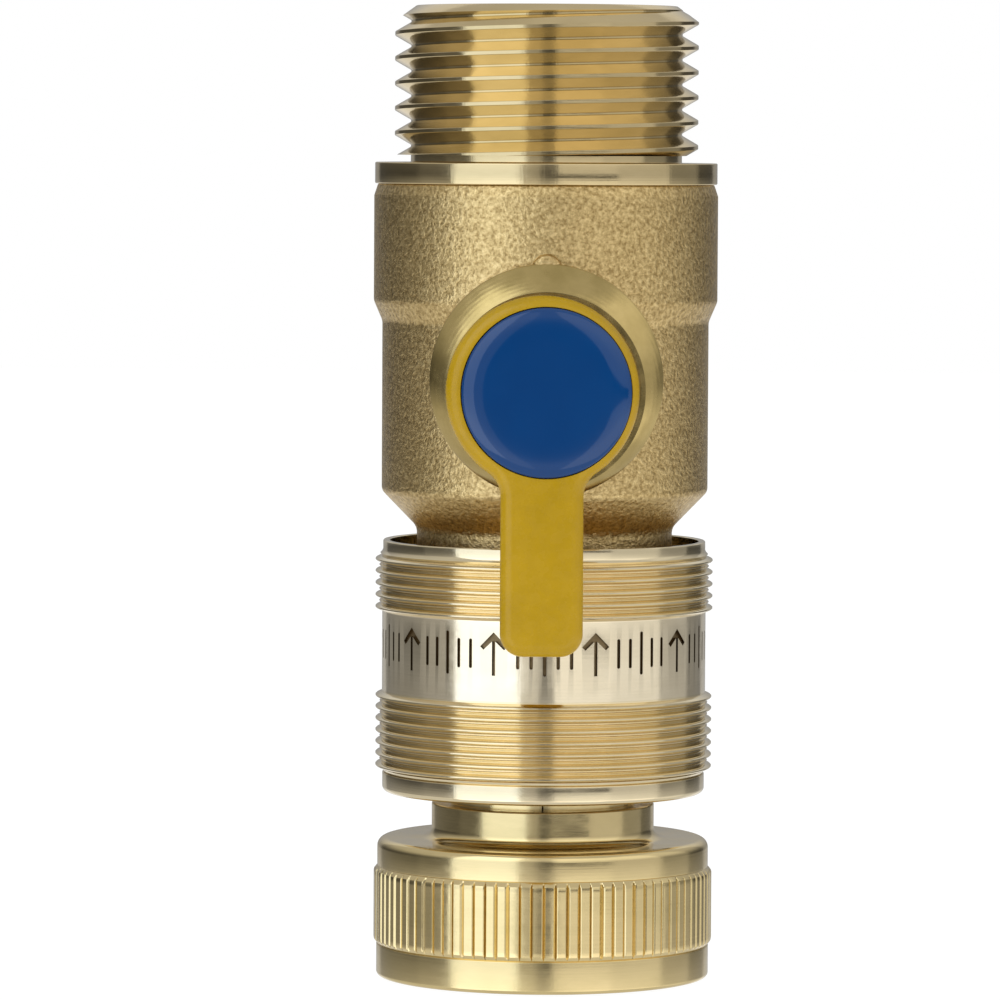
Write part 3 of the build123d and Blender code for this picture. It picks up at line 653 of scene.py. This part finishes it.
def coated(name):
    """Thick yellow coating with orange peel, duller in patches."""
    paint = Surface(name, IOR=1.5)
    paint.shader.inputs["Specular IOR Level"].default_value = 0.36
    tones = [(0.3, (0.43, 0.258, 0.0)), (0.7, (0.51, 0.306, 0.001))]
    paint.drive("Base Color", paint.ramp(paint.noise(260, 5, 0.65), tones))
    paint.drive("Roughness", paint.levels(paint.noise(900, 3, 0.6), 0.20, 0.34, 0.3, 0.7))
    paint.bump(paint.noise(700, 2, 0.5), 2.2e-5)
    paint.bump(paint.noise(2400, 2, 0.5), 1.3e-5)
    return paint.material


def plastic(name):
    """Glossy moulded blue with the faintest sink and haze."""
    cap = Surface(name, IOR=1.5)
    tones = [(0.3, (0.0, 0.040, 0.160)), (0.7, (0.0, 0.047, 0.180))]
    cap.drive("Base Color", cap.ramp(cap.noise(120, 3, 0.5), tones))
    cap.drive("Roughness", cap.levels(cap.noise(500, 3, 0.6), 0.05, 0.09, 0.3, 0.7))
    cap.bump(cap.noise(260, 1, 0.4), 2e-6)
    return cap.material


def plain(name, dark, light, rough, metallic=0.0, grain=900, depth=3e-6):
    """A quiet finish for the pieces inside: two close tones, a little grain."""
    made = Surface(name, Metallic=metallic)
    made.drive("Base Color", made.ramp(made.noise(300, 3, 0.6), [(0.3, dark), (0.7, light)]))
    made.drive("Roughness", made.levels(made.noise(grain, 3, 0.6), rough - 0.04, rough + 0.06, 0.3, 0.7))
    made.bump(made.noise(grain, 3, 0.6), depth)
    return made.material


FINISHES = {
    "cast_brass": cast_metal("cast_brass_finish"),
    "turned_brass": turned_metal("turned_brass_finish", (0.60, 0.475, 0.25), (0.70, 0.56, 0.31), 0.10, 4, 2.5),
    "sleeve_brass": turned_metal("sleeve_brass_finish", (0.75, 0.635, 0.40), (0.84, 0.715, 0.475), 0.11, 3),
    "plug_brass": turned_metal("plug_brass_finish", (0.70, 0.56, 0.275), (0.79, 0.63, 0.325), 0.14, 3),
    "yellow_coating": coated("yellow_coating_finish"),
    "blue_plastic": plastic("blue_plastic_finish"),
    "black_rubber": plain("black_rubber_finish", (0.012, 0.012, 0.012), (0.03, 0.03, 0.03), 0.5),
    "white_ptfe": plain("white_ptfe_finish", (0.78, 0.77, 0.73), (0.86, 0.85, 0.82), 0.4),
    "chrome_ball": plain("chrome_ball_finish", (0.78, 0.79, 0.81), (0.84, 0.85, 0.87), 0.09, 1.0, 400, 1e-6),
    "steel": plain("steel_finish", (0.50, 0.50, 0.50), (0.62, 0.62, 0.62), 0.26, 1.0, 2400, 4e-6),
}

# Second finishes for some faces of the body and the sleeve.
FACED_BRASS = faced_metal("faced_brass_finish", (0.44, 0.33, 0.125), (0.56, 0.425, 0.175))
BAND_BRASS = turned_metal("band_brass_finish", (0.83, 0.72, 0.51), (0.90, 0.79, 0.58), 0.11, 2)
TARNISHED_BRASS = plain(
    "tarnished_brass_finish", (0.14, 0.10, 0.05), (0.26, 0.19, 0.10), 0.45, 1.0, 3000, 4e-6)


# ---- Put the pieces on the frame ---------------------------------------------------------------------

def dress(piece, slot_name, body, *nodes):
    """Give a finished piece its material, the body that carries it, and the CAD nodes it stands for."""
    piece.data.materials.clear()
    piece.data.materials.append(FINISHES[slot_name])
    for polygon in piece.data.polygons:
        polygon.material_index = 0
    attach(piece, body)
    if nodes:
        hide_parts(*nodes)


def paint_faces(piece, material, chosen):
    """Give the faces whose middle passes a test another material."""
    piece.data.materials.append(material)
    index = len(piece.data.materials) - 1
    for polygon in piece.data.polygons:
        if chosen(polygon.center / MM):
            polygon.material_index = index


def on_boss(point):
    """The machined cone and face round the stem."""
    return point.y < -15.9 and math.hypot(point.x, point.z - STEM_Z - 0.4) < 10.8


def on_band(point):
    """The polished band between the sleeve's rows of ribs."""
    return 25.6 < point.z < 33.2 and abs(math.hypot(point.x, point.y) - BAND_R) < 0.03


def in_mark(point):
    """The floors and walls of the engraved marks."""
    return 27 < point.z < 32.3 and 14.0 < math.hypot(point.x, point.y) < BAND_R - 0.02


plug, nut_thread = make_plug()
body = make_body()
sleeve = make_sleeve()
dress(make_tailpiece(), "turned_brass", "valve", "hose_tailpiece")
dress(body, "cast_brass", "valve", "valve_body")
paint_faces(body, FACED_BRASS, on_boss)
dress(sleeve, "sleeve_brass", "sleeve", "release_sleeve")
paint_faces(sleeve, BAND_BRASS, on_band)
paint_faces(sleeve, TARNISHED_BRASS, in_mark)
dress(plug, "plug_brass", "plug", "plug_adapter")
dress(nut_thread, "plug_brass", "plug")
dress(make_lever(), "yellow_coating", "lever_group", "lever")
dress(make_cap(), "blue_plastic", "lever_group", "lever_cap")

for row in frame["record"]["subparts"]:
    node = frame["nodes"][row["node"]]
    if not node.hide_render:
        node.data.materials.clear()
        node.data.materials.append(FINISHES[row["material_slot"]])


# ---- Studio --------------------------------------------------------------------------------------------

PANEL_DISTANCE = 0.9


def panel(name, start, end, low, high, radiance, colour=(1, 1, 1)):
    """A tall soft light facing the object, between two azimuths (0 is the camera's side, + is right)."""
    middle = math.radians((start + end) / 2)
    width = 2 * PANEL_DISTANCE * math.tan(math.radians((end - start) / 2))
    light = bpy.data.lights.new(name, "AREA")
    light.shape = "RECTANGLE"
    light.size = width
    light.size_y = high - low
    light.energy = radiance * math.pi * width * (high - low)
    light.color = colour
    made = bpy.data.objects.new(name, light)
    bpy.context.scene.collection.objects.link(made)
    place = Matrix.Translation((
        PANEL_DISTANCE * math.sin(middle), -PANEL_DISTANCE * math.cos(middle), (low + high) / 2))
    made.matrix_world = place @ Matrix.Rotation(middle, 4, "Z") @ Matrix.Rotation(math.pi / 2, 4, "X")
    made.visible_camera = False


panel("key_left", -66, -17, -0.5, 1.5, 1.12, (1.0, 1.10, 1.26))
panel("left_falloff", -95, -66, -0.5, 0.9, 0.05)
panel("front_gap", -17, -4, -0.5, 0.9, 0.34)
panel("front_middle", -4, 7, -0.5, 0.9, 0.03)
panel("right_upper", 7, 48, 0.061, 1.1, 0.62)
panel("right_lower", 7, 48, -0.6, -0.020, 0.64)
panel("right_side", 48, 90, -0.5, 1.1, 0.52)
panel("right_edge", 90, 122, -0.5, 1.0, 0.20)
panel("back_fill", 150, 208, -0.5, 0.9, 0.24)


def build_world():
    """White behind the object; for everything else a soft room, bright below, dim at the horizon."""
    world = bpy.data.worlds.new("studio")
    bpy.context.scene.world = world
    world.use_nodes = True
    tree = world.node_tree
    tree.nodes.clear()
    coords = tree.nodes.new("ShaderNodeTexCoord")
    split = tree.nodes.new("ShaderNodeSeparateXYZ")
    tree.links.new(coords.outputs["Generated"], split.inputs["Vector"])
    height = tree.nodes.new("ShaderNodeMapRange")
    height.inputs["From Min"].default_value = -1
    tree.links.new(split.outputs["Z"], height.inputs["Value"])
    ramp = tree.nodes.new("ShaderNodeValToRGB")
    stops = [(0.0, 0.75), (0.36, 0.68), (0.44, 0.26), (0.49, 0.07), (0.56, 0.12), (0.72, 0.50), (1.0, 0.65)]
    while len(ramp.color_ramp.elements) < len(stops):
        ramp.color_ramp.elements.new(0.5)
    for element, (position, value) in zip(ramp.color_ramp.elements, stops):
        element.position = position
        element.color = (value, value, value, 1)
    tree.links.new(height.outputs["Result"], ramp.inputs["Fac"])
    room = tree.nodes.new("ShaderNodeBackground")
    tree.links.new(ramp.outputs["Color"], room.inputs["Color"])
    backdrop = tree.nodes.new("ShaderNodeBackground")
    backdrop.inputs["Color"].default_value = (1, 1, 1, 1)
    path = tree.nodes.new("ShaderNodeLightPath")
    choice = tree.nodes.new("ShaderNodeMixShader")
    tree.links.new(path.outputs["Is Camera Ray"], choice.inputs["Fac"])
    tree.links.new(room.outputs["Background"], choice.inputs[1])
    tree.links.new(backdrop.outputs["Background"], choice.inputs[2])
    out = tree.nodes.new("ShaderNodeOutputWorld")
    tree.links.new(choice.outputs["Shader"], out.inputs["Surface"])


def build_floor():
    """A pale floor just under the nut, left out of reflections so that upright walls see the lights."""
    size = 1.5
    mesh = bpy.data.meshes.new("floor")
    corners = [(-size, -size, 0), (size, -size, 0), (size, size, 0), (-size, size, 0)]
    mesh.from_pydata(corners, [], [(0, 1, 2, 3)])
    floor = bpy.data.objects.new("floor", mesh)
    floor.location.z = -0.0002
    bpy.context.scene.collection.objects.link(floor)
    material = bpy.data.materials.new("floor_finish")
    material.use_nodes = True
    shader = material.node_tree.nodes["Principled BSDF"]
    shader.inputs["Base Color"].default_value = (0.12, 0.12, 0.12, 1)
    shader.inputs["Roughness"].default_value = 0.9
    shader.inputs["Specular IOR Level"].default_value = 0.0
    shader.inputs["Emission Color"].default_value = (1, 1, 1, 1)
    shader.inputs["Emission Strength"].default_value = 0.96
    mesh.materials.append(material)
    floor.visible_glossy = False


build_world()
build_floor()


# ---- Camera ---------------------------------------------------------------------------------------------

CAMERA_PLACE = (-0.00397, -0.592, 0.0754)
CAMERA_DOWN = 3.18
CAMERA_ROLL = 0.3
LENS = 239.2

camera_data = bpy.data.cameras.new("camera")
camera_data.lens = LENS
camera_data.sensor_width = 36
camera_data.clip_start = 0.01
camera = bpy.data.objects.new("camera", camera_data)
bpy.context.scene.collection.objects.link(camera)
camera.matrix_world = (
    Matrix.Translation(CAMERA_PLACE) @ Matrix.Rotation(math.radians(90 - CAMERA_DOWN), 4, "X")
    @ Matrix.Rotation(math.radians(CAMERA_ROLL), 4, "Z"))
bpy.context.scene.camera = camera

view = bpy.context.scene.view_settings
view.view_transform = "Standard"
view.look = "None"
